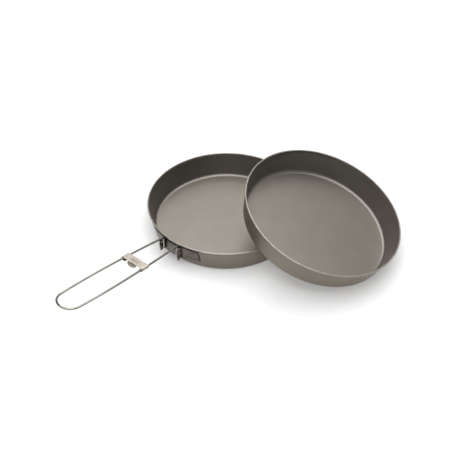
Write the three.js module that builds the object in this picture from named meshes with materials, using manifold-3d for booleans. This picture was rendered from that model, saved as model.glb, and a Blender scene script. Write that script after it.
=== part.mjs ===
// A set of two shallow camp frying pans of one size, in thin titanium sheet.
// One pan stands flat and carries a folding wire handle with a sliding lock; the other has no handle
// and leans on the first pan's rim. Millimetres, +Z up. The origin is the centre of the standing
// pan's base, on the surface it stands on, and the handle points along -X.
import * as THREE from "three";
import { mergeVertices } from "three/addons/utils/BufferGeometryUtils.js";
import Module from "manifold-3d";

const wasm = await Module();
wasm.setup();

const GAP = 0.3; // clearance kept between neighbouring pieces

// Pans
const RIM_RADIUS = 90; // outside of the rounded rim
const PAN_HEIGHT = 30;
const PAN_SHEET = 0.9;
const BASE_CORNER_RADIUS = 83.3; // where the line of the wall would meet the line of the base
const WALL_TOP_RADIUS = 89.8; // where the line of the wall would meet the top plane
const BASE_FILLET = 4.9;
const RIM_BEAD_RADIUS = 0.8;
const PAN_STEPS = 72;
const ARC_STEPS = 3;

// Leaning pan
const LEAN_TILT = 18; // degrees from level
const LEAN_AZIMUTH = -71.5; // degrees, from +X towards +Y, seen from above

// Wire handle, in the sloping plane of the wire: distances run out from the standing pan's axis
const WIRE_RADIUS = 1.25;
const WIRE_SLOPE = 8.15; // degrees above level
const WIRE_HEIGHT = 29.65; // of the wire's centre at the distance below
const WIRE_HEIGHT_AT = 95;
const LEG_AT = 91.8; // the wire turns down here, close to the wall
const PIVOT_HEIGHT = 13.9;
const PIN_REACH = 14.4; // half the distance between the tips of the two pivot ends
const WIRE_BEND = 1.9; // length of straight that each tight bend takes up
const ROOT_HALF_WIDTH = 10.5;
const LOOP_HALF_WIDTH = 13.6; // also the radius of the round end
const SIDE_PULL = [13.4, 15.8]; // half-widths that draw the two long sides outward
const LOOP_CENTRE_AT = 231.4;
const WIRE_STEPS = 260;
const WIRE_ARC_STEPS = 4; // half the number of sides of the wire's section

// Handle bracket
const BRACKET_SHEET = 0.9;
const BAND_TOP = 27.5;
const BAND_BOTTOM = 10.8;
const BAND_MIDDLE_TOP = 25.5; // between the ears the band is narrower
const BAND_MIDDLE_BOTTOM = 11.7;
const BAND_SHOULDER = [6.6, 7.6]; // degrees over which the band widens from the middle to a wing
const BAND_WING_BEND = [9.5, 13.5]; // degrees over which a wing turns to follow the wall's cone
const BAND_HALF_ANGLE = 21; // degrees round the pan, at the top edge
const BAND_END_SLANT = 1.1; // degrees that the band is longer at its bottom edge
const BAND_STEPS = 56;
const EAR_CURVE_STEPS = 8;
const EAR_INNER_FACE = 12.3;
const EAR_ROOT_AT = 89.3;
const EAR_REACH = 96.8;
const EAR_TOP = 27;
const EAR_TOP_CURVE = { root: 3, end: 2, shoulder: 2.4 }; // lengths taken by the two top corners
const EAR_TIP = { at: 94.3, height: 10.6, front: 0.8, back: 0.4, pull: 5 };
const UPPER_HOLE = { at: 93.2, height: 22, radius: 1.05 };
const PIVOT_HOLE_RADIUS = 1.6;

// Lock slider
const SLIDER_SHEET = 0.7;
const SLIDER_AT = 144.4;
const SLIDER_LENGTH = 9.8;
const SLIDER_SIDE = 15.05; // inner face of each side wall
const SLIDER_LIP_EDGE = 9.7; // the lips under the wire end here
const SLIDER_CURVE_STEPS = 6;
const TAB_HALF_WIDTH = 6.3;
const TAB_FULLNESS = 5; // half-width at which the half-moon's outline is pulled outward
const TAB_DEPTH = 3.3;
const TAB_CURVE_STEPS = 10;
const TAB_DROP = 2.2;
const TAB_ANGLE = 16; // degrees below the plane of the wire

const titanium = { color: 0x9f978c, metalness: 0.9, roughness: 0.5 };
const bareSteel = { color: 0xc4c0b8, metalness: 1, roughness: 0.25 };
const paleSteel = { color: 0xd3cabf, metalness: 0.9, roughness: 0.35 };
const darkSteel = { color: 0x8d877c, metalness: 1, roughness: 0.4 };

const rad = THREE.MathUtils.degToRad;
const wallSlope = (WALL_TOP_RADIUS - BASE_CORNER_RADIUS) / PAN_HEIGHT;
const wallTaper = Math.atan(wallSlope);
const baseFlatRadius = BASE_CORNER_RADIUS - BASE_FILLET / Math.tan(Math.PI / 4 + wallTaper / 2);
const rimCentreRadius = RIM_RADIUS - RIM_BEAD_RADIUS;
const rimCentreHeight = PAN_HEIGHT - RIM_BEAD_RADIUS;

// Outside radius of the wall at a height.
const wallRadius = (height) => BASE_CORNER_RADIUS + height * wallSlope;

// Height of the wire's centre plane at a distance from the pan's axis.
const wireHeight = (at) => WIRE_HEIGHT + (at - WIRE_HEIGHT_AT) * Math.tan(rad(WIRE_SLOPE));

function namedMesh(name, geometry, look) {
  const mesh = new THREE.Mesh(geometry, new THREE.MeshStandardMaterial(look));
  mesh.name = name;
  return mesh;
}

function toSolid(geometry) {
  const plain = geometry.clone();
  plain.deleteAttribute("normal");
  plain.deleteAttribute("uv");
  const merged = mergeVertices(plain, 1e-4);
  return new wasm.Manifold(
    new wasm.Mesh({
      numProp: 3,
      vertProperties: new Float32Array(merged.attributes.position.array),
      triVerts: new Uint32Array(merged.index.array),
    }),
  );
}

function fromSolid(solid) {
  const mesh = solid.getMesh();
  const geometry = new THREE.BufferGeometry();
  geometry.setAttribute("position", new THREE.BufferAttribute(mesh.vertProperties, mesh.numProp));
  geometry.setIndex(new THREE.BufferAttribute(mesh.triVerts, 1));
  geometry.computeVertexNormals();
  return geometry;
}

function join(geometries) {
  return fromSolid(geometries.map(toSolid).reduce((all, next) => all.add(next)));
}

// One pressing: flat base, rounded corner, conical wall and a small round bead for a rim.
function panGeometry() {
  const beadHalfOpening = Math.acos(PAN_SHEET / 2 / RIM_BEAD_RADIUS);
  const outline = new THREE.Path();
  outline.moveTo(0, 0);
  outline.lineTo(baseFlatRadius, 0);
  outline.absarc(baseFlatRadius, BASE_FILLET, BASE_FILLET, -Math.PI / 2, -wallTaper, false);
  outline.absarc(
    rimCentreRadius,
    rimCentreHeight,
    RIM_BEAD_RADIUS,
    -beadHalfOpening - wallTaper,
    Math.PI + beadHalfOpening - wallTaper,
    false,
  );
  outline.absarc(baseFlatRadius, BASE_FILLET, BASE_FILLET - PAN_SHEET, -wallTaper, -Math.PI / 2, true);
  outline.lineTo(0, PAN_SHEET);
  const pan = new THREE.LatheGeometry(outline.getPoints(ARC_STEPS), PAN_STEPS);
  return pan.rotateX(Math.PI / 2);
}

// The leaning pan's lower edge touches the surface, and its base lies on the standing pan's rim.
function placeLeaningPan(pan) {
  const tilt = rad(LEAN_TILT);
  const height = baseFlatRadius * Math.sin(tilt) + BASE_FILLET * (1 - Math.cos(tilt));
  const rimTouch = rimCentreHeight + (RIM_BEAD_RADIUS + GAP) / Math.cos(tilt);
  const distance = rimCentreRadius + (rimTouch - height) / Math.tan(tilt);
  const azimuth = rad(LEAN_AZIMUTH);
  pan.position.set(distance * Math.cos(azimuth), distance * Math.sin(azimuth), height);
  const hingeLine = new THREE.Vector3(-Math.sin(azimuth), Math.cos(azimuth), 0);
  pan.setRotationFromAxisAngle(hingeLine, tilt);
  return pan;
}

// The band starts as a flat blank and is bent round the wall. Its two wings follow the conical wall;
// its middle, which carries the ears, stands upright.
function bandGeometry() {
  const blank = new THREE.BoxGeometry(2, 1, 1, BAND_STEPS, 1, 1);
  const place = blank.attributes.position;
  const wallTop = wallRadius(BAND_TOP) + GAP;
  for (let i = 0; i < place.count; i++) {
    const along = place.getX(i);
    const up = place.getY(i) + 0.5;
    const out = place.getZ(i) + 0.5;
    const degrees = along * (BAND_HALF_ANGLE + BAND_END_SLANT * (1 - up));
    const wing = THREE.MathUtils.smoothstep(Math.abs(degrees), ...BAND_WING_BEND);
    const shoulder = THREE.MathUtils.smoothstep(Math.abs(degrees), ...BAND_SHOULDER);
    const top = THREE.MathUtils.lerp(BAND_MIDDLE_TOP, BAND_TOP, shoulder);
    const bottom = THREE.MathUtils.lerp(BAND_MIDDLE_BOTTOM, BAND_BOTTOM, shoulder);
    const height = THREE.MathUtils.lerp(bottom, top, up);
    const inner = THREE.MathUtils.lerp(wallTop, wallRadius(height) + GAP, wing);
    const radius = inner + out * BRACKET_SHEET;
    const angle = Math.PI + rad(degrees);
    place.setXYZ(i, radius * Math.cos(angle), radius * Math.sin(angle), height);
  }
  return blank;
}

// An ear stands square to the wall, with a pointed lower end and two holes.
function earGeometry(side) {
  const { root, end, shoulder } = EAR_TOP_CURVE;
  const tipFront = EAR_TIP.at + EAR_TIP.front;
  const outline = new THREE.Shape();
  outline.moveTo(EAR_ROOT_AT, BAND_MIDDLE_TOP);
  outline.quadraticCurveTo(EAR_ROOT_AT + root / 3, EAR_TOP, EAR_ROOT_AT + root, EAR_TOP);
  outline.lineTo(EAR_REACH - end, EAR_TOP);
  outline.quadraticCurveTo(EAR_REACH, EAR_TOP, EAR_REACH, EAR_TOP - shoulder);
  outline.quadraticCurveTo(EAR_REACH, EAR_TIP.height + EAR_TIP.pull, tipFront, EAR_TIP.height);
  outline.lineTo(EAR_TIP.at - EAR_TIP.back, EAR_TIP.height);
  outline.lineTo(EAR_ROOT_AT, BAND_MIDDLE_BOTTOM);
  outline.closePath();
  const pivotHole = new THREE.Path();
  pivotHole.absarc(LEG_AT, PIVOT_HEIGHT, PIVOT_HOLE_RADIUS, 0, 2 * Math.PI, false);
  const upperHole = new THREE.Path();
  upperHole.absarc(UPPER_HOLE.at, UPPER_HOLE.height, UPPER_HOLE.radius, 0, 2 * Math.PI, false);
  outline.holes.push(pivotHole, upperHole);
  const ear = new THREE.ExtrudeGeometry(outline, {
    depth: BRACKET_SHEET,
    bevelEnabled: false,
    curveSegments: EAR_CURVE_STEPS,
  });
  // The outline's axes, out and up, become -X and +Z, and the sheet's thickness runs along +Y.
  ear.applyMatrix4(
    new THREE.Matrix4().makeBasis(
      new THREE.Vector3(-1, 0, 0),
      new THREE.Vector3(0, 0, 1),
      new THREE.Vector3(0, 1, 0),
    ),
  );
  return ear.translate(0, side > 0 ? EAR_INNER_FACE : -EAR_INNER_FACE - BRACKET_SHEET, 0);
}

function bracketGeometry() {
  return join([bandGeometry(), earGeometry(-1), earGeometry(1)]);
}

// The path of the wire: a pivot end, a leg up beside the wall, a long side, the round end, and back.
function wirePath() {
  const onPlane = (at, sideways) => new THREE.Vector3(-at, sideways, wireHeight(at));
  const bend = (from, corner, to) => {
    const start = corner.clone().add(from.clone().sub(corner).setLength(WIRE_BEND));
    const end = corner.clone().add(to.clone().sub(corner).setLength(WIRE_BEND));
    return new THREE.QuadraticBezierCurve3(start, corner, end);
  };
  const half = (side) => {
    const pinTip = new THREE.Vector3(-LEG_AT, side * PIN_REACH, PIVOT_HEIGHT);
    const foot = new THREE.Vector3(-LEG_AT, side * ROOT_HALF_WIDTH, PIVOT_HEIGHT);
    const shoulder = onPlane(LEG_AT, side * ROOT_HALF_WIDTH);
    const third = (LOOP_CENTRE_AT - LEG_AT) / 3;
    const firstPull = onPlane(LEG_AT + third, side * SIDE_PULL[0]);
    const secondPull = onPlane(LEG_AT + 2 * third, side * SIDE_PULL[1]);
    const loopStart = onPlane(LOOP_CENTRE_AT, side * LOOP_HALF_WIDTH);
    const footBend = bend(pinTip, foot, shoulder);
    const shoulderBend = bend(foot, shoulder, firstPull);
    return [
      new THREE.LineCurve3(pinTip, footBend.v0),
      footBend,
      new THREE.LineCurve3(footBend.v2, shoulderBend.v0),
      shoulderBend,
      new THREE.CubicBezierCurve3(shoulderBend.v2, firstPull, secondPull, loopStart),
    ];
  };
  const path = new THREE.CurvePath();
  half(-1).forEach((curve) => path.add(curve));
  path.add(roundEnd(onPlane));
  half(1)
    .reverse()
    .forEach((curve) => path.add(reversed(curve)));
  return path;
}

function roundEnd(onPlane) {
  const end = new THREE.Curve();
  end.getPoint = (t, target = new THREE.Vector3()) => {
    const angle = (t - 0.5) * Math.PI;
    const out = LOOP_HALF_WIDTH * Math.cos(angle) * Math.cos(rad(WIRE_SLOPE));
    return target.copy(onPlane(LOOP_CENTRE_AT + out, LOOP_HALF_WIDTH * Math.sin(angle)));
  };
  return end;
}

function reversed(curve) {
  const back = new THREE.Curve();
  back.getPoint = (t, target = new THREE.Vector3()) => curve.getPoint(1 - t, target);
  return back;
}

function wireHandleGeometry() {
  const section = new THREE.Shape();
  section.absarc(0, 0, WIRE_RADIUS, 0, 2 * Math.PI, false);
  return new THREE.ExtrudeGeometry(section, {
    steps: WIRE_STEPS,
    curveSegments: WIRE_ARC_STEPS,
    extrudePath: wirePath(),
  });
}

// A flat plate over both wires; each side is rolled round its wire and ends in a lip underneath.
function sliderChannel() {
  const inner = WIRE_RADIUS + GAP;
  const outer = inner + SLIDER_SHEET;
  const rollCentre = SLIDER_SIDE - inner;
  const section = new THREE.Shape();
  section.moveTo(-rollCentre, outer);
  section.absarc(-rollCentre, 0, outer, Math.PI / 2, (3 * Math.PI) / 2, false);
  section.lineTo(-SLIDER_LIP_EDGE, -outer);
  section.lineTo(-SLIDER_LIP_EDGE, -inner);
  section.absarc(-rollCentre, 0, inner, (3 * Math.PI) / 2, Math.PI / 2, true);
  section.lineTo(rollCentre, inner);
  section.absarc(rollCentre, 0, inner, Math.PI / 2, -Math.PI / 2, true);
  section.lineTo(SLIDER_LIP_EDGE, -inner);
  section.lineTo(SLIDER_LIP_EDGE, -outer);
  section.absarc(rollCentre, 0, outer, -Math.PI / 2, Math.PI / 2, false);
  section.closePath();
  const channel = new THREE.ExtrudeGeometry(section, {
    depth: SLIDER_LENGTH,
    bevelEnabled: false,
    curveSegments: SLIDER_CURVE_STEPS,
  });
  // The section's axes, sideways and up, become +Y and +Z, and the length runs along +X.
  channel.applyMatrix4(
    new THREE.Matrix4().makeBasis(
      new THREE.Vector3(0, 1, 0),
      new THREE.Vector3(0, 0, 1),
      new THREE.Vector3(1, 0, 0),
    ),
  );
  return channel.translate(-SLIDER_LENGTH / 2, 0, 0);
}

// A half-moon for the thumb, stepped down from the plate's outer edge.
function sliderTab() {
  const plateTop = WIRE_RADIUS + GAP + SLIDER_SHEET;
  const riser = new THREE.BoxGeometry(SLIDER_SHEET, 2 * TAB_HALF_WIDTH, TAB_DROP + SLIDER_SHEET);
  riser.translate(SLIDER_SHEET / 2, 0, plateTop - (TAB_DROP + SLIDER_SHEET) / 2);
  const pull = (TAB_DEPTH * 4) / 3;
  const moon = new THREE.Shape();
  moon.moveTo(-TAB_HALF_WIDTH, 0);
  moon.bezierCurveTo(-TAB_FULLNESS, pull, TAB_FULLNESS, pull, TAB_HALF_WIDTH, 0);
  moon.closePath();
  const tongue = new THREE.ExtrudeGeometry(moon, {
    depth: SLIDER_SHEET,
    bevelEnabled: false,
    curveSegments: TAB_CURVE_STEPS,
  });
  // The outline's second axis, the way out along the handle, becomes -X.
  tongue.applyMatrix4(
    new THREE.Matrix4().makeBasis(
      new THREE.Vector3(0, 1, 0),
      new THREE.Vector3(-1, 0, 0),
      new THREE.Vector3(0, 0, 1),
    ),
  );
  tongue.rotateY(-rad(TAB_ANGLE));
  tongue.translate(SLIDER_SHEET / 2, 0, plateTop - TAB_DROP - SLIDER_SHEET);
  return [riser, tongue].map((piece) => piece.translate(-SLIDER_LENGTH / 2, 0, 0));
}

function sliderGeometry() {
  return join([sliderChannel(), ...sliderTab()]);
}

function placeSlider(slider) {
  slider.position.set(-SLIDER_AT, 0, wireHeight(SLIDER_AT));
  slider.rotation.y = rad(WIRE_SLOPE);
  return slider;
}

const set = new THREE.Group();
set.add(namedMesh("handled_pan", panGeometry(), titanium));
set.add(placeLeaningPan(namedMesh("leaning_pan", panGeometry(), titanium)));
set.add(namedMesh("handle_bracket", bracketGeometry(), darkSteel));
set.add(namedMesh("wire_handle", wireHandleGeometry(), bareSteel));
set.add(placeSlider(namedMesh("lock_slider", sliderGeometry(), paleSteel)));

export default set;
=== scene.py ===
import math

import bmesh
import bpy
from mathutils import Matrix, Vector


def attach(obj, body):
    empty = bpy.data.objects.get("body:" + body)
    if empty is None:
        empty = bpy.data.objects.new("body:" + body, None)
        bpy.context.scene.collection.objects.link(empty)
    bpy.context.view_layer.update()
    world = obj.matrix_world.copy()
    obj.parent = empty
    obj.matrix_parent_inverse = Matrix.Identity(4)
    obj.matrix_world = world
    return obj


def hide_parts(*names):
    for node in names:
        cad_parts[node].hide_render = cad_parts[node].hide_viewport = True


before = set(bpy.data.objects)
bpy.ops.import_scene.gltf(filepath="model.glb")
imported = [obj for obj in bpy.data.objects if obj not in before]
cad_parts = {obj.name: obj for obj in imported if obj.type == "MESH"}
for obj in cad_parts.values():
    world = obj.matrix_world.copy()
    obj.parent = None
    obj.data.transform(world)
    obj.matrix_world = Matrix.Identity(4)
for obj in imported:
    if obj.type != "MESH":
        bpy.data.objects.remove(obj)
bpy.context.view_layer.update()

MM = 0.001

# ---------------------------------------------------------------- dimensions, in metres and degrees

# Pans: the same sheet-metal section as the CAD model
RIM_RADIUS = 90 * MM
PAN_HEIGHT = 30 * MM
PAN_SHEET = 0.9 * MM
BASE_CORNER_RADIUS = 83.3 * MM
WALL_TOP_RADIUS = 89.8 * MM
BASE_FILLET = 4.9 * MM
RIM_BEAD_RADIUS = 0.8 * MM
LEAN_TILT = 18
LEAN_AZIMUTH = -71.5
REST_GAP = 0.3 * MM  # between pieces that rest on each other

# Wire handle, in its sloping plane. Distances run out from the standing pan's axis.
WIRE_RADIUS = 1.25 * MM
WIRE_SLOPE = 8.15
WIRE_HEIGHT = 29.65 * MM
WIRE_HEIGHT_AT = 95 * MM
LEG_AT = 91.8 * MM
PIVOT_HEIGHT = 13.9 * MM
PIN_REACH = 14.4 * MM
WIRE_BEND = 1.9 * MM
ROOT_HALF_WIDTH = 10.5 * MM
LOOP_HALF_WIDTH = 13.6 * MM
SIDE_PULL = (13.4 * MM, 15.8 * MM)
LOOP_CENTRE_AT = 231.4 * MM
WIRE_END_ROUNDING = 0.3  # of the wire's radius
WIRE_END_PROFILE = 0.6

# Handle bracket
BRACKET_SHEET = 0.9 * MM
BAND_TOP = 27.5 * MM
BAND_BOTTOM = 10.8 * MM
BAND_MIDDLE_TOP = 25.5 * MM
BAND_MIDDLE_BOTTOM = 11.7 * MM
BAND_SHOULDER = (6.6, 7.6)
BAND_WING_BEND = (9.5, 13.5)
BAND_HALF_ANGLE = 21
BAND_END_SLANT = 1.1
BAND_CORNER = 1.6 * MM
EAR_INNER_FACE = 12.3 * MM
EAR_ROOT_AT = 89.3 * MM
EAR_REACH = 96.8 * MM
EAR_TOP = 27 * MM
EAR_TOP_ROOT = 3 * MM
EAR_TOP_END = 2 * MM
EAR_TOP_SHOULDER = 2.4 * MM
EAR_TIP_AT = 94.3 * MM
EAR_TIP_HEIGHT = 10.6 * MM
EAR_TIP_FRONT = 0.8 * MM
EAR_TIP_BACK = 0.4 * MM
EAR_TIP_PULL = 5 * MM
UPPER_HOLE = (93.2 * MM, 22 * MM, 1.05 * MM)
PIVOT_HOLE_RADIUS = 1.6 * MM
BRACKET_VOXEL = 0.2 * MM

# Lock slider
SLIDER_SHEET = 0.7 * MM
SLIDER_AT = 144.4 * MM
SLIDER_LENGTH = 9.8 * MM
SLIDER_SIDE = 15.05 * MM
SLIDER_LIP_EDGE = 9.7 * MM
TAB_HALF_WIDTH = 6.3 * MM
TAB_FULLNESS = 5 * MM
TAB_DEPTH = 3.3 * MM
TAB_DROP = 2.2 * MM
TAB_ANGLE = 16
GROOVES_AT = (-1.9 * MM, -0.6 * MM, 0.7 * MM)
GROOVE_HALF_LENGTH = 5.5 * MM
GROOVE_HALF_WIDTH = 0.45 * MM
GROOVE_DEPTH = 0.35 * MM
GROOVE_END_FADE = 0.4 * MM
PLATE_TOP_FADE = (0.25 * MM, 0.1 * MM)  # depths where the pressing starts and is full
SLIDER_VOXEL = 0.14 * MM

# Fineness: steps along each stretch of a section, a curve or a grid
PAN_FLATS = 72  # flats round a CAD pan
PAN_STEPS = 4 * PAN_FLATS
FILLET_STEPS = 12
BEAD_STEPS = 20
WALL_STEPS = 8
DISC_STEPS = 12
WIRE_SIDES = 24
WIRE_SIDE_STEPS = 72
LOOP_STEPS = 40
BEND_STEPS = 8
WIRE_END_STEPS = 3
BAND_COLUMNS = 160
BAND_ROWS = 40
CORNER_STEPS = 8
HOLE_STEPS = 48
ROLL_STEPS = 16
TAB_STEPS = 40
WELD = 1e-4  # of a plate's depth
SKIN_SMOOTHING = 3
SKIN_SMOOTHING_FACTOR = 0.5

# Looks: metals as linear colours, with their roughness, which is a pair where it varies. A noise
# layer is its features per metre, its detail, and how far it is squeezed along X, Y and Z. A bump
# is its height in metres and its strength.
NOISE_WINDOW = (0.3, 0.7)  # the values that most noise stays between
BRUSH_WINDOW = (0.25, 0.75)
TITANIUM_DARK = (0.262, 0.238, 0.208)
TITANIUM_LIGHT = (0.288, 0.263, 0.231)
TITANIUM_ROUGHNESS = 0.46
TITANIUM_GRAIN = (2600, 3)
TITANIUM_MOTTLE = (38, 4)
TITANIUM_RINGS = 420  # per metre of radius
TITANIUM_RING_DETAIL = 3.0
MOTTLE_TONE = 0.78
RING_TONE = 0.22
RING_BUMP = 0.05
GRAIN_ROUGHNESS = 0.03
TITANIUM_BUMP = (0.00005, 0.3)
# Painted shade: the pans' outer faces are darkened and warmed towards this tint
OUTSIDE_SHADE_TINT = (0.86, 0.83, 0.78)
OUTSIDE_FADE = 0.2 * RIM_RADIUS
# Painted tint: the inner walls are cooled against the warm light bounced between the pan's own
# surfaces
INSIDE_WALL_BOUNCE_TINT = (0.97, 0.99, 1.06)
INSIDE_WALL_FADE = 0.6 * RIM_RADIUS
# Painted shade: metals darken towards this tint where another surface stands close by
CREVICE_SHADE_TINT = (0.07, 0.055, 0.045)
CREVICE_REACH = 1.5 * MM
CREVICE_WINDOW = (0.5, 0.95)  # share of open sky
CREVICE_SAMPLES = 16
WORN_WINDOW = (0.505, 0.535)  # pointiness of a worn corner
RUBBED_RIM = (0.46, 0.433, 0.395)
RIM_ROUGHNESS = 0.4
RIM_RUBBING = (160, 3)
RIM_RUBBING_WINDOW = (0.25, 0.6)
RIM_LEAST_RUBBED = 0.55
RIM_RUBBED_DOWN_TO = 2.1 * RIM_BEAD_RADIUS
BRACKET_DARK = (0.055, 0.047, 0.04)
BRACKET_LIGHT = (0.21, 0.185, 0.16)
BRACKET_EDGE = (0.62, 0.59, 0.55)
BRACKET_ROUGHNESS = (0.26, 0.44)
BRACKET_LINES = (1, 4, (50, 50, 1500))
BRACKET_COARSE = (1, 3, (30, 30, 520))
BRACKET_PATCHES = (140, 3)
BRACKET_LINE_TONE = 0.5
BRACKET_COARSE_TONE = 0.45
BRACKET_PATCH_TONE = 0.15
BRACKET_BUMP = (0.00005, 0.5)
EARS_WORN = (EAR_ROOT_AT + 2 * MM, EAR_ROOT_AT + 3.5 * MM)
WIRE_DARK = (0.32, 0.305, 0.28)
WIRE_LIGHT = (0.39, 0.372, 0.345)
WIRE_ROUGHNESS = (0.12, 0.2)
WIRE_TONE = (70, 3)
WIRE_SMUDGES = (240, 3)
WIRE_BUMP = (0.00002, 0.15)
SLIDER_DARK = (0.46, 0.41, 0.355)
SLIDER_LIGHT = (0.68, 0.62, 0.545)
SLIDER_ROUGHNESS = (0.32, 0.46)
SLIDER_LINES = (1, 4, (1500, 60, 1500))
SLIDER_MOTTLE = (420, 3)
SLIDER_TONE = 0.5  # each layer's share
SLIDER_BUMP = (0.00004, 0.45)
# Painted shade: the thumb tab is darkened towards this tint
TAB_SHADE_TINT = (0.42, 0.4, 0.38)
TAB_FADE = (0.3 * MM, 0.7 * MM)  # before and past the plate's end

# Stage and light: a pale floor with a faint glow, a room that darkens overhead, and four softboxes
# aimed at the origin. Azimuths run from +X, in degrees.
FLOOR_SIZE = 8
FLOOR_COLOUR = (0.78, 0.78, 0.78)
FLOOR_GLOW = 0.28
ROOM_OVERHEAD = (0.02, 0.02, 0.02)
ROOM_HORIZON = (0.42, 0.42, 0.42)
ROOM_DARK_ABOVE = 35  # degrees
SOFTBOX_DISTANCE = 1.3
SOFTBOXES = {  # azimuth, elevation, width in metres, radiance
    "overhead": (0, 90, 1.8, 2.3),
    "back": (41.5, 50, 0.9, 1.1),
    "right": (-3.5, 50, 0.9, 0.6),
    "front": (221.5, 50, 0.9, 0.8),
}

# Camera: on the handle's side, looking down. Offsets in metres, lens and sensor in millimetres.
CAMERA_AZIMUTH = -138.5
CAMERA_ELEVATION = 41.677
CAMERA_ROLL = -0.446
CAMERA_DISTANCE = 1.032
CAMERA_SIDE = -0.00036
CAMERA_RAISE = -0.00732
CAMERA_LENS = 70.65
CAMERA_SENSOR = 36
CAMERA_CLIP = (0.05, 20)

wall_slope = (WALL_TOP_RADIUS - BASE_CORNER_RADIUS) / PAN_HEIGHT
wall_taper = math.atan(wall_slope)
base_flat_radius = BASE_CORNER_RADIUS - BASE_FILLET / math.tan(math.pi / 4 + wall_taper / 2)
rim_centre = (RIM_RADIUS - RIM_BEAD_RADIUS, PAN_HEIGHT - RIM_BEAD_RADIUS)
plate_top = WIRE_RADIUS + REST_GAP + SLIDER_SHEET  # the slider's plate above the wires' plane


# ---------------------------------------------------------------- mesh helpers

def add_object(name, data):
    thing = bpy.data.objects.new(name, data)
    bpy.context.scene.collection.objects.link(thing)
    return thing


def mesh_from(name, bm):
    """A mesh from a bmesh, which is freed."""
    mesh = bpy.data.meshes.new(name)
    bm.to_mesh(mesh)
    bm.free()
    return mesh


def new_piece(name, shape, body, node, material):
    """A piece that stands for a CAD node; its shape is a bmesh, and is freed."""
    piece = add_object(name, mesh_from(name, shape))
    piece.data.materials.append(material)
    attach(piece, body)
    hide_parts(node)


def shift(bm, *step):
    bmesh.ops.translate(bm, verts=bm.verts, vec=step)


def smooth_shaded(bm):
    for face in bm.faces:
        face.smooth = True
    return bm


def join_rings(bm, rings):
    """Faces between closed rings that have the same number of vertices."""
    for low, high in zip(rings, rings[1:]):
        for i in range(len(low)):
            j = (i + 1) % len(low)
            bm.faces.new((low[i], low[j], high[j], high[i]))


def evaluated(holder):
    """The shape of an object with its modifiers, as a bmesh. The object is removed."""
    bm = bmesh.new()
    bm.from_mesh(holder.evaluated_get(bpy.context.evaluated_depsgraph_get()).to_mesh())
    bpy.data.objects.remove(holder)
    return bm


def arc(centre, radius, start, end, steps):
    """Points on an arc in a plane, from one angle to another, both included."""
    points = []
    for i in range(steps + 1):
        angle = start + (end - start) * i / steps
        x, y = radius * math.cos(angle), radius * math.sin(angle)
        points.append((centre[0] + x, centre[1] + y))
    return points


def line(start, end, steps):
    """Points between two ends, both left out."""
    x, y = end[0] - start[0], end[1] - start[1]
    return [(start[0] + x * i / steps, start[1] + y * i / steps) for i in range(1, steps)]


# ---------------------------------------------------------------- pans

def pan_section():
    """Radius and height along the sheet, from the underside's middle round to the floor's."""
    corner = (base_flat_radius, BASE_FILLET)
    opening = math.acos(PAN_SHEET / 2 / RIM_BEAD_RADIUS)
    bead_ends = (-opening - wall_taper, math.pi + opening - wall_taper)
    outside = arc(corner, BASE_FILLET, -math.pi / 2, -wall_taper, FILLET_STEPS)
    bead = arc(rim_centre, RIM_BEAD_RADIUS, *bead_ends, BEAD_STEPS)
    inside = arc(corner, BASE_FILLET - PAN_SHEET, -wall_taper, -math.pi / 2, FILLET_STEPS)
    under = line((0, 0), outside[0], DISC_STEPS)
    outer_wall = line(outside[-1], bead[0], WALL_STEPS)
    inner_wall = line(bead[-1], inside[0], WALL_STEPS)
    floor = line(inside[-1], (0, PAN_SHEET), DISC_STEPS)
    return under + outside + outer_wall + bead + inner_wall + inside + floor


def revolve(section, steps):
    """Turns a section about the Z axis, and closes its first and last rings with a fan."""
    bm = bmesh.new()
    rings = []
    for radius, height in section:
        ring = []
        for i in range(steps):
            angle = 2 * math.pi * i / steps
            x, y = radius * math.cos(angle), radius * math.sin(angle)
            ring.append(bm.verts.new((x, y, height)))
        rings.append(ring)
    join_rings(bm, rings)
    for ring, order in ((rings[0], -1), (rings[-1], 1)):
        centre = bm.verts.new((0, 0, ring[0].co.z))
        for i in range(steps):
            pair = (ring[i], ring[(i + 1) % steps])[::order]
            bm.faces.new((*pair, centre))
    return smooth_shaded(bm)


def lean():
    """The leaning pan's place: base on the standing pan's rim, low edge on the table."""
    tilt = math.radians(LEAN_TILT)
    azimuth = math.radians(LEAN_AZIMUTH)
    height = base_flat_radius * math.sin(tilt) + BASE_FILLET * (1 - math.cos(tilt))
    touch = rim_centre[1] + (RIM_BEAD_RADIUS + REST_GAP) / math.cos(tilt)
    distance = rim_centre[0] + (touch - height) / math.tan(tilt)
    place = Vector((distance * math.cos(azimuth), distance * math.sin(azimuth), height))
    axis = Vector((-math.sin(azimuth), math.cos(azimuth), 0))
    return Matrix.Translation(place) @ Matrix.Rotation(tilt, 4, axis)


def make_pans(standing_metal, leaning_metal):
    """Round pans that touch the middles of the CAD pans' flats, to stay inside the CAD's box."""
    to_flats = math.cos(math.pi / PAN_FLATS)
    section = [(radius * to_flats, height) for radius, height in pan_section()]
    standing = revolve(section, PAN_STEPS)
    new_piece("standing_pan_shell", standing, "standing_pan", "handled_pan",
              standing_metal)
    leaning = revolve(section, PAN_STEPS)
    leaning.transform(lean())
    new_piece("leaning_pan_shell", leaning, "second_pan", "leaning_pan",
              leaning_metal)


# ---------------------------------------------------------------- wire handle

def wire_height(at):
    return WIRE_HEIGHT + (at - WIRE_HEIGHT_AT) * math.tan(math.radians(WIRE_SLOPE))


def on_wire_plane(at, sideways):
    return Vector((-at, sideways, wire_height(at)))


def bezier(points, steps):
    """Points on a quadratic or cubic Bezier curve, by repeated halving between its controls."""
    out = []
    for i in range(steps + 1):
        t = i / steps
        level = list(points)
        while len(level) > 1:
            level = [a.lerp(b, t) for a, b in zip(level, level[1:])]
        out.append(level[0])
    return out


def bend(start, corner, end):
    """A rounded corner of the wire."""
    a = corner + (start - corner).normalized() * WIRE_BEND
    b = corner + (end - corner).normalized() * WIRE_BEND
    return bezier((a, corner, b), BEND_STEPS)


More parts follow.
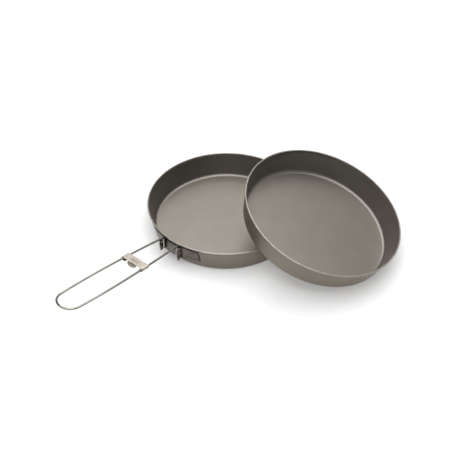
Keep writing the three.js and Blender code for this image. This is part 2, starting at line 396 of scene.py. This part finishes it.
def wire_half(side):
    """From the pivot end up the leg and along one long side to the start of the round end."""
    pin_tip = Vector((-LEG_AT, side * PIN_REACH, PIVOT_HEIGHT))
    foot = Vector((-LEG_AT, side * ROOT_HALF_WIDTH, PIVOT_HEIGHT))
    shoulder = on_wire_plane(LEG_AT, side * ROOT_HALF_WIDTH)
    third = (LOOP_CENTRE_AT - LEG_AT) / 3
    pulls = [
        on_wire_plane(LEG_AT + third * (i + 1), side * pull) for i, pull in enumerate(SIDE_PULL)
    ]
    loop_start = on_wire_plane(LOOP_CENTRE_AT, side * LOOP_HALF_WIDTH)
    shoulder_bend = bend(foot, shoulder, pulls[0])
    side_curve = bezier((shoulder_bend[-1], *pulls, loop_start), WIRE_SIDE_STEPS)
    return [pin_tip] + bend(pin_tip, foot, shoulder) + shoulder_bend + side_curve[1:]


def wire_points():
    """The wire's middle line, from one pivot end round the loop to the other."""
    end = []
    for i in range(1, LOOP_STEPS):
        angle = (i / LOOP_STEPS - 0.5) * math.pi
        out = LOOP_HALF_WIDTH * math.cos(angle) * math.cos(math.radians(WIRE_SLOPE))
        end.append(on_wire_plane(LOOP_CENTRE_AT + out, LOOP_HALF_WIDTH * math.sin(angle)))
    return wire_half(-1) + end + wire_half(1)[::-1]


def tube(points, radius, sides):
    """A round bar along points, with slightly domed ends."""
    bm = bmesh.new()
    rings = []
    tangent = (points[1] - points[0]).normalized()
    normal = tangent.orthogonal().normalized()
    for i, point in enumerate(points):
        ahead = points[min(i + 1, len(points) - 1)]
        behind = points[max(i - 1, 0)]
        turn = tangent.rotation_difference((ahead - behind).normalized())
        tangent = turn @ tangent
        normal = turn @ normal
        across = tangent.cross(normal)
        ring = []
        for k in range(sides):
            angle = 2 * math.pi * k / sides
            outward = math.cos(angle) * normal + math.sin(angle) * across
            ring.append(bm.verts.new(point + radius * outward))
        rings.append(ring)
    join_rings(bm, rings)
    bm.faces.new(rings[0][::-1])
    bm.faces.new(rings[-1])
    ends = [e for f in bm.faces if len(f.verts) == sides for e in f.edges]
    bmesh.ops.bevel(bm, geom=ends, offset=radius * WIRE_END_ROUNDING, segments=WIRE_END_STEPS,
                    affect="EDGES", profile=WIRE_END_PROFILE)
    return smooth_shaded(bm)


def make_wire(material):
    shape = tube(wire_points(), WIRE_RADIUS, WIRE_SIDES)
    new_piece("wire_loop", shape, "handle", "wire_handle", material)


# ---------------------------------------------------------------- sheet-metal pieces

def smoothstep(value, low, high):
    t = min(max((value - low) / (high - low), 0), 1)
    return t * t * (3 - 2 * t)


def mix(a, b, t):
    return a + (b - a) * t


def plate(outline, holes, depth):
    """A flat plate in the XY plane, from z = 0 up, with holes given as (x, y, radius)."""
    curve = bpy.data.curves.new("plate", "CURVE")
    curve.dimensions = "2D"
    curve.fill_mode = "BOTH"
    curve.extrude = depth / 2
    rounds = [arc((x, y), radius, 0, 2 * math.pi, HOLE_STEPS)[:-1] for x, y, radius in holes]
    for loop in (outline, *rounds):
        spline = curve.splines.new("POLY")
        spline.points.add(len(loop) - 1)
        spline.use_cyclic_u = True
        for point, (x, y) in zip(spline.points, loop):
            point.co = (x, y, 0, 1)
    bm = evaluated(add_object("plate", curve))
    bmesh.ops.remove_doubles(bm, verts=bm.verts, dist=depth * WELD)
    shift(bm, 0, 0, depth / 2)
    return bm


def merged(shells, voxel):
    """One closed skin round overlapping closed shells, with its edges slightly rounded."""
    together = bmesh.new()
    for shell in shells:
        together.from_mesh(mesh_from("shell", shell))
    holder = add_object("shells", mesh_from("shells", together))
    skin = holder.modifiers.new("skin", "REMESH")
    skin.mode = "VOXEL"
    skin.voxel_size = voxel
    skin.use_smooth_shade = True
    smooth = holder.modifiers.new("smooth", "SMOOTH")
    smooth.factor = SKIN_SMOOTHING_FACTOR
    smooth.iterations = SKIN_SMOOTHING
    return smooth_shaded(evaluated(holder))


def basis(x_axis, y_axis, z_axis):
    """A turn that takes the X, Y and Z axes to the given ones."""
    return Matrix((x_axis, y_axis, z_axis)).transposed().to_4x4()


# ---------------------------------------------------------------- handle bracket

def wall_radius(height):
    return BASE_CORNER_RADIUS + height * wall_slope


def band_point(along, up, out):
    """A point of the band: along from -1 to 1, up and out from 0 to 1."""
    full_height = BAND_TOP - BAND_BOTTOM
    edge = min(up, 1 - up) * full_height
    inset = 0
    if edge < BAND_CORNER:
        inset = BAND_CORNER - math.sqrt(BAND_CORNER ** 2 - (BAND_CORNER - edge) ** 2)
    half_angle = BAND_HALF_ANGLE + BAND_END_SLANT * (1 - up) - math.degrees(inset / RIM_RADIUS)
    degrees = along * half_angle
    wing = smoothstep(abs(degrees), *BAND_WING_BEND)
    shoulder = smoothstep(abs(degrees), *BAND_SHOULDER)
    bottom = mix(BAND_MIDDLE_BOTTOM, BAND_BOTTOM, shoulder)
    height = mix(bottom, mix(BAND_MIDDLE_TOP, BAND_TOP, shoulder), up)
    inner = mix(wall_radius(BAND_TOP), wall_radius(height), wing) + REST_GAP
    radius = inner + out * BRACKET_SHEET
    angle = math.pi + math.radians(degrees)
    return radius * math.cos(angle), radius * math.sin(angle), height


def band():
    """A bent strip, as a grid wrapped round its own thickness."""
    columns, rows = BAND_COLUMNS, BAND_ROWS
    heights = [(1 - math.cos(math.pi * j / rows)) / 2 for j in range(rows + 1)]
    bm = bmesh.new()
    sides = []
    for out in (0, 1):
        grid = []
        for i in range(columns + 1):
            along = 2 * i / columns - 1
            grid.append([bm.verts.new(band_point(along, up, out)) for up in heights])
        sides.append(grid)
    inner, outer = sides
    for i in range(columns):
        for j in range(rows):
            bm.faces.new((outer[i][j], outer[i + 1][j], outer[i + 1][j + 1], outer[i][j + 1]))
            bm.faces.new((inner[i][j + 1], inner[i + 1][j + 1], inner[i + 1][j], inner[i][j]))
        bm.faces.new((inner[i][0], inner[i + 1][0], outer[i + 1][0], outer[i][0]))
        bm.faces.new((outer[i][rows], outer[i + 1][rows], inner[i + 1][rows], inner[i][rows]))
    ends = ((inner[0], outer[0]), (outer[columns], inner[columns]))
    for j in range(rows):
        for one, other in ends:
            bm.faces.new((one[j + 1], one[j], other[j], other[j + 1]))
    return bm


def flat_bezier(*points, steps=CORNER_STEPS):
    curve = bezier([Vector((*point, 0)) for point in points], steps)
    return [(point.x, point.y) for point in curve]


def ear(side):
    """A plate standing square to the wall, with a pointed lower end and two holes."""
    tip_front = (EAR_TIP_AT + EAR_TIP_FRONT, EAR_TIP_HEIGHT)
    front_top = (EAR_REACH, EAR_TOP - EAR_TOP_SHOULDER)
    outline = flat_bezier(
        (EAR_ROOT_AT, BAND_MIDDLE_TOP), (EAR_ROOT_AT + EAR_TOP_ROOT / 3, EAR_TOP),
        (EAR_ROOT_AT + EAR_TOP_ROOT, EAR_TOP),
    )
    outline += flat_bezier((EAR_REACH - EAR_TOP_END, EAR_TOP), (EAR_REACH, EAR_TOP), front_top)
    outline += flat_bezier(front_top, (EAR_REACH, EAR_TIP_HEIGHT + EAR_TIP_PULL), tip_front)[1:]
    outline += [(EAR_TIP_AT - EAR_TIP_BACK, EAR_TIP_HEIGHT), (EAR_ROOT_AT, BAND_MIDDLE_BOTTOM)]
    bm = plate(outline, [(LEG_AT, PIVOT_HEIGHT, PIVOT_HOLE_RADIUS), UPPER_HOLE], BRACKET_SHEET)
    bm.transform(basis((-1, 0, 0), (0, 0, 1), (0, 1, 0)))
    start = EAR_INNER_FACE if side > 0 else -EAR_INNER_FACE - BRACKET_SHEET
    shift(bm, 0, start, 0)
    return bm


def make_bracket(material):
    shape = merged([band(), ear(-1), ear(1)], BRACKET_VOXEL)
    new_piece("hinge_bracket", shape, "standing_pan", "handle_bracket", material)


# ---------------------------------------------------------------- lock slider

def slider_channel():
    """A plate over both wires, rolled round each wire and ending in a lip underneath."""
    inner = WIRE_RADIUS + REST_GAP
    outer = inner + SLIDER_SHEET
    roll = SLIDER_SIDE - inner
    quarter = math.pi / 2
    outline = arc((-roll, 0), outer, quarter, 3 * quarter, ROLL_STEPS)
    outline += [(-SLIDER_LIP_EDGE, -outer), (-SLIDER_LIP_EDGE, -inner)]
    outline += arc((-roll, 0), inner, 3 * quarter, quarter, ROLL_STEPS)
    outline += arc((roll, 0), inner, quarter, -quarter, ROLL_STEPS)
    outline += [(SLIDER_LIP_EDGE, -inner), (SLIDER_LIP_EDGE, -outer)]
    outline += arc((roll, 0), outer, -quarter, quarter, ROLL_STEPS)
    bm = plate(outline, [], SLIDER_LENGTH)
    bm.transform(basis((0, 1, 0), (0, 0, 1), (1, 0, 0)))
    shift(bm, -SLIDER_LENGTH / 2, 0, 0)
    return bm


def slider_tab():
    """A thumb tab: a short step down from the plate's outer edge, then a half-moon."""
    step = bmesh.new()
    bmesh.ops.create_cube(step, size=1)
    size = (SLIDER_SHEET, 2 * TAB_HALF_WIDTH, TAB_DROP + SLIDER_SHEET)
    bmesh.ops.scale(step, verts=step.verts, vec=size)
    shift(step, SLIDER_SHEET / 2, 0, plate_top - size[2] / 2)
    pull = TAB_DEPTH * 4 / 3  # a cubic curve rises three quarters of the way to its controls
    edge = flat_bezier((-TAB_HALF_WIDTH, 0), (-TAB_FULLNESS, pull), (TAB_FULLNESS, pull),
                       (TAB_HALF_WIDTH, 0), steps=TAB_STEPS)
    moon = plate(edge, [], SLIDER_SHEET)
    moon.transform(basis((0, 1, 0), (-1, 0, 0), (0, 0, 1)))
    moon.transform(Matrix.Rotation(-math.radians(TAB_ANGLE), 4, "Y"))
    shift(moon, SLIDER_SHEET / 2, 0, plate_top - TAB_DROP - SLIDER_SHEET)
    for shell in (step, moon):
        shift(shell, -SLIDER_LENGTH / 2, 0, 0)
    return [step, moon]


def press_grooves(shape):
    """Plain grip grooves across the plate, pressed into its top."""
    for vertex in shape.verts:
        x, y, z = vertex.co
        on_top = smoothstep(z, plate_top - PLATE_TOP_FADE[0], plate_top - PLATE_TOP_FADE[1])
        within = 1 - smoothstep(abs(y), GROOVE_HALF_LENGTH - GROOVE_END_FADE, GROOVE_HALF_LENGTH)
        across = min(abs(x - at) for at in GROOVES_AT)
        in_groove = 1 - smoothstep(across, 0, GROOVE_HALF_WIDTH)
        vertex.co.z -= GROOVE_DEPTH * on_top * within * in_groove


def make_slider(material):
    shape = merged([slider_channel(), *slider_tab()], SLIDER_VOXEL)
    press_grooves(shape)
    shape.transform(Matrix.Translation(on_wire_plane(SLIDER_AT, 0))
                    @ Matrix.Rotation(math.radians(WIRE_SLOPE), 4, "Y"))
    new_piece("sliding_lock", shape, "slider", "lock_slider", material)


# ---------------------------------------------------------------- materials

class Surface:
    """A metal material whose node inputs are written as plain values or as other nodes' outputs."""

    def __init__(self, name):
        self.material = bpy.data.materials.new(name)
        self.material.use_nodes = True
        self.tree = self.material.node_tree
        self.shader = self.tree.nodes["Principled BSDF"]
        self.shader.inputs["Metallic"].default_value = 1
        self.place = self.add("ShaderNodeTexCoord", {}, "Object")

    def add_node(self, kind, inputs, **settings):
        node = self.tree.nodes.new(kind)
        for name, value in settings.items():
            setattr(node, name, value)
        for name, value in inputs.items():
            self.feed(node.inputs[name], value)
        return node

    def add(self, kind, inputs, output=0, **settings):
        return self.add_node(kind, inputs, **settings).outputs[output]

    def feed(self, socket, value):
        if isinstance(value, bpy.types.NodeSocket):
            self.tree.links.new(value, socket)
        else:
            socket.default_value = value

    def shade(self, name, value):
        self.feed(self.shader.inputs[name], value)

    def noise(self, scale, detail, squeeze=(1, 1, 1)):
        """A noise layer, from 0 to 1."""
        vector = self.add("ShaderNodeVectorMath", {0: self.place, 1: squeeze}, operation="MULTIPLY")
        return self.add("ShaderNodeTexNoise", {"Vector": vector, "Scale": scale, "Detail": detail})

    def between(self, value, low, high, to_low=0.0, to_high=1.0):
        """Values from low to high, mapped to to_low and to_high and held there outside."""
        inputs = {"From Min": low, "From Max": high, "To Min": to_low, "To Max": to_high}
        return self.add("ShaderNodeMapRange", {"Value": value, **inputs})

    def spread(self, noise, low=0.0, high=1.0):
        """Noise spread out to run from low to high."""
        return self.between(noise, *NOISE_WINDOW, low, high)

    def tinted(self, factor, colour, tint):
        """A colour multiplied by a tint, as far as factor says."""
        return self.colour(factor, colour, self.colour(1.0, colour, tint, "MULTIPLY"))

    def sum(self, first, second):
        return self.add("ShaderNodeMath", {0: first, 1: second}, operation="ADD")

    def product(self, first, second):
        return self.add("ShaderNodeMath", {0: first, 1: second}, operation="MULTIPLY")

    def colour(self, factor, low, high, blend="MIX"):
        """A colour from low to high by factor; low and high are colours or other nodes' outputs."""
        node = self.tree.nodes.new("ShaderNodeMix")
        node.data_type = "RGBA"
        node.blend_type = blend
        self.feed(node.inputs["Factor"], factor)
        sockets = [socket for socket in node.inputs if socket.type == "RGBA"]
        for socket, value in zip(sockets, (low, high)):
            self.feed(socket, (*value, 1) if isinstance(value, tuple) else value)
        return next(output for output in node.outputs if output.type == "RGBA")

    def painted_crevice_shade(self, colour):
        """Painted shade: the colour darkened where another surface stands close by, read from an
        ambient-occlusion node.
        """
        open_sky = self.add("ShaderNodeAmbientOcclusion", {"Distance": CREVICE_REACH}, "AO",
                            samples=CREVICE_SAMPLES)
        painted_shade = self.between(open_sky, *CREVICE_WINDOW, 1.0, 0.0)
        return self.colour(painted_shade, colour, CREVICE_SHADE_TINT, "MULTIPLY")

    def edges(self, colour, rubbed, where):
        """Bare metal where a corner of the sheet is worn; where runs from 0 to 1."""
        sharpness = self.add("ShaderNodeNewGeometry", {}, "Pointiness")
        worn = self.product(self.between(sharpness, *WORN_WINDOW), where)
        return self.colour(worn, colour, rubbed)

    def bump(self, height, distance, strength):
        inputs = {"Height": height, "Distance": distance, "Strength": strength}
        self.shade("Normal", self.add("ShaderNodeBump", inputs))


def blasted_titanium(name, to_pan):
    """Matt titanium: blasted grain, faint rings from the pressing, and a rubbed, brighter rim;
    painted shade on the outer faces and where another surface stands close by, and a painted cooler
    tint on the inner walls.
    """
    surface = Surface(name)
    turn = to_pan.to_euler()
    normal_in = {"Vector": surface.add("ShaderNodeTexCoord", {}, "Normal"), "Rotation": turn}
    normal = surface.add("ShaderNodeMapping", normal_in, vector_type="VECTOR")
    mapping = {"Vector": surface.place, "Location": to_pan.to_translation(), "Rotation": turn}
    surface.place = surface.add("ShaderNodeMapping", mapping)
    axes = surface.add_node("ShaderNodeSeparateXYZ", {0: surface.place})
    flat = surface.add("ShaderNodeCombineXYZ", {"X": axes.outputs["X"], "Y": axes.outputs["Y"]})
    radius = surface.add("ShaderNodeVectorMath", {0: flat}, "Value", operation="LENGTH")
    ring_inputs = {"W": surface.product(radius, TITANIUM_RINGS), "Scale": 1.0,
                   "Detail": TITANIUM_RING_DETAIL}
    rings = surface.add("ShaderNodeTexNoise", ring_inputs, noise_dimensions="1D")
    grain = surface.noise(*TITANIUM_GRAIN)
    mottle = surface.noise(*TITANIUM_MOTTLE)

    tone = surface.sum(surface.spread(mottle, 0.0, MOTTLE_TONE),
                       surface.spread(rings, 0.0, RING_TONE))
    body = surface.colour(tone, TITANIUM_DARK, TITANIUM_LIGHT)
    outward = surface.add("ShaderNodeVectorMath", {0: normal, 1: flat}, "Value",
                          operation="DOT_PRODUCT")
    # Painted shade on the outer faces
    body = surface.tinted(surface.between(outward, 0.0, OUTSIDE_FADE), body, OUTSIDE_SHADE_TINT)
    # Painted cooler tint on the inner walls, against their warm bounced light
    body = surface.tinted(surface.between(outward, 0.0, -INSIDE_WALL_FADE), body, INSIDE_WALL_BOUNCE_TINT)
    above_wall = surface.between(axes.outputs["Z"], PAN_HEIGHT - RIM_RUBBED_DOWN_TO,
                                 PAN_HEIGHT - RIM_BEAD_RADIUS)
    rubbing = surface.between(surface.noise(*RIM_RUBBING), *RIM_RUBBING_WINDOW,
                              RIM_LEAST_RUBBED, 1.0)
    rubbed = surface.product(above_wall, rubbing)
    # Painted shade where another surface stands close by
    surface.shade("Base Color", surface.painted_crevice_shade(surface.colour(rubbed, body, RUBBED_RIM)))

    roughness = surface.sum(surface.spread(grain, -GRAIN_ROUGHNESS, GRAIN_ROUGHNESS),
                            surface.between(rubbed, 0, 1, TITANIUM_ROUGHNESS, RIM_ROUGHNESS))
    surface.shade("Roughness", roughness)
    surface.bump(surface.sum(grain, surface.product(rings, RING_BUMP)), *TITANIUM_BUMP)
    return surface.material


def brushed_bracket():
    """Sheet steel brushed along the band, with bare edges and painted shade in its corners."""
    surface = Surface("brushed_bracket")
    lines = surface.noise(*BRACKET_LINES)
    coarse = surface.noise(*BRACKET_COARSE)
    patches = surface.noise(*BRACKET_PATCHES)
    tone = surface.sum(surface.spread(lines, 0.0, BRACKET_LINE_TONE),
                       surface.spread(coarse, 0.0, BRACKET_COARSE_TONE))
    tone = surface.sum(tone, surface.spread(patches, -BRACKET_PATCH_TONE, BRACKET_PATCH_TONE))
    body = surface.colour(tone, BRACKET_DARK, BRACKET_LIGHT)
    flat = surface.add("ShaderNodeVectorMath", {0: surface.place, 1: (1, 1, 0)},
                       operation="MULTIPLY")
    radius = surface.add("ShaderNodeVectorMath", {0: flat}, "Value", operation="LENGTH")
    on_ears = surface.between(radius, *EARS_WORN)
    # Painted shade where another surface stands close by
    surface.shade("Base Color", surface.painted_crevice_shade(surface.edges(body, BRACKET_EDGE, on_ears)))
    surface.shade("Roughness", surface.between(lines, *BRUSH_WINDOW, *BRACKET_ROUGHNESS))
    surface.bump(surface.sum(lines, coarse), *BRACKET_BUMP)
    return surface.material


def drawn_wire():
    """Smooth drawn wire: faint smudges and slow changes of tone along it."""
    surface = Surface("drawn_wire")
    tone = surface.noise(*WIRE_TONE)
    smudges = surface.noise(*WIRE_SMUDGES)
    surface.shade("Base Color", surface.colour(surface.spread(tone), WIRE_DARK, WIRE_LIGHT))
    surface.shade("Roughness", surface.spread(smudges, *WIRE_ROUGHNESS))
    surface.bump(smudges, *WIRE_BUMP)
    return surface.material


def satin_slider():
    """Pale satin metal, brushed across the handle; the thumb tab is darkened with painted shade."""
    surface = Surface("satin_slider")
    lines = surface.noise(*SLIDER_LINES)
    mottle = surface.noise(*SLIDER_MOTTLE)
    tone = surface.sum(surface.spread(lines, 0.0, SLIDER_TONE),
                       surface.spread(mottle, 0.0, SLIDER_TONE))
    body = surface.colour(tone, SLIDER_DARK, SLIDER_LIGHT)
    out = surface.add("ShaderNodeVectorMath", {0: surface.place, 1: (-1, 0, 0)}, "Value",
                      operation="DOT_PRODUCT")
    plate_end = SLIDER_AT + SLIDER_LENGTH / 2
    on_tab = surface.between(out, plate_end - TAB_FADE[0], plate_end + TAB_FADE[1])
    # Painted shade on the thumb tab and where another surface stands close by
    surface.shade("Base Color", surface.painted_crevice_shade(surface.tinted(on_tab, body, TAB_SHADE_TINT)))
    surface.shade("Roughness", surface.between(lines, *BRUSH_WINDOW, *SLIDER_ROUGHNESS))
    surface.bump(lines, *SLIDER_BUMP)
    return surface.material


make_pans(blasted_titanium("titanium", Matrix()),
          blasted_titanium("titanium_leaning", lean().inverted()))
make_wire(drawn_wire())
make_bracket(brushed_bracket())
make_slider(satin_slider())


# ---------------------------------------------------------------- stage, light and camera

def make_floor():
    bm = bmesh.new()
    bmesh.ops.create_grid(bm, x_segments=1, y_segments=1, size=FLOOR_SIZE / 2)
    floor = add_object("floor", mesh_from("floor", bm))
    material = bpy.data.materials.new("pale_floor")
    material.use_nodes = True
    shader = material.node_tree.nodes["Principled BSDF"]
    shader.inputs["Base Color"].default_value = (*FLOOR_COLOUR, 1)
    shader.inputs["Roughness"].default_value = 1
    shader.inputs["Specular IOR Level"].default_value = 0
    shader.inputs["Emission Color"].default_value = (1, 1, 1, 1)
    shader.inputs["Emission Strength"].default_value = FLOOR_GLOW
    floor.data.materials.append(material)


def make_world():
    """A plain room, pale along the horizon and dark overhead."""
    world = bpy.data.worlds.new("studio")
    bpy.context.scene.world = world
    world.use_nodes = True
    tree = world.node_tree
    look = tree.nodes.new("ShaderNodeTexCoord")
    axes = tree.nodes.new("ShaderNodeSeparateXYZ")
    rise = tree.nodes.new("ShaderNodeMapRange")
    rise.inputs["From Max"].default_value = math.sin(math.radians(ROOM_DARK_ABOVE))
    shade = tree.nodes.new("ShaderNodeMix")
    shade.data_type = "RGBA"
    low, high = [socket for socket in shade.inputs if socket.type == "RGBA"]
    low.default_value = (*ROOM_HORIZON, 1)
    high.default_value = (*ROOM_OVERHEAD, 1)
    result = next(socket for socket in shade.outputs if socket.type == "RGBA")
    tree.links.new(look.outputs["Generated"], axes.inputs[0])
    tree.links.new(axes.outputs["Z"], rise.inputs["Value"])
    tree.links.new(rise.outputs[0], shade.inputs["Factor"])
    tree.links.new(result, tree.nodes["Background"].inputs["Color"])


def direction(azimuth, elevation):
    """A unit vector from the origin, by angles in degrees."""
    turn, rise = math.radians(azimuth), math.radians(elevation)
    reach = math.cos(rise)
    return Vector((math.cos(turn) * reach, math.sin(turn) * reach, math.sin(rise)))


def make_softbox(name, azimuth, elevation, width, radiance):
    """A square soft light aimed at the origin, equally bright whatever its size."""
    data = bpy.data.lights.new(name, "AREA")
    data.shape = "SQUARE"
    data.size = width
    data.energy = radiance * math.pi * width ** 2
    light = add_object(name, data)
    place = SOFTBOX_DISTANCE * direction(azimuth, elevation)
    aim = (-place).to_track_quat("-Z", "Y").to_matrix().to_4x4()
    light.matrix_world = Matrix.Translation(place) @ aim


def make_camera():
    back = direction(CAMERA_AZIMUTH, CAMERA_ELEVATION)
    roll = Matrix.Rotation(math.radians(CAMERA_ROLL), 3, "Z")
    turn = (-back).to_track_quat("-Z", "Y").to_matrix() @ roll
    data = bpy.data.cameras.new("camera")
    data.lens = CAMERA_LENS
    data.sensor_width = CAMERA_SENSOR
    data.clip_start, data.clip_end = CAMERA_CLIP
    camera = add_object("camera", data)
    place = turn @ Vector((CAMERA_SIDE, CAMERA_RAISE, CAMERA_DISTANCE))
    camera.matrix_world = Matrix.Translation(place) @ turn.to_4x4()
    bpy.context.scene.camera = camera


make_floor()
make_world()
for softbox, setting in SOFTBOXES.items():
    make_softbox(softbox, *setting)
make_camera()
bpy.context.scene.view_settings.view_transform = "Standard"
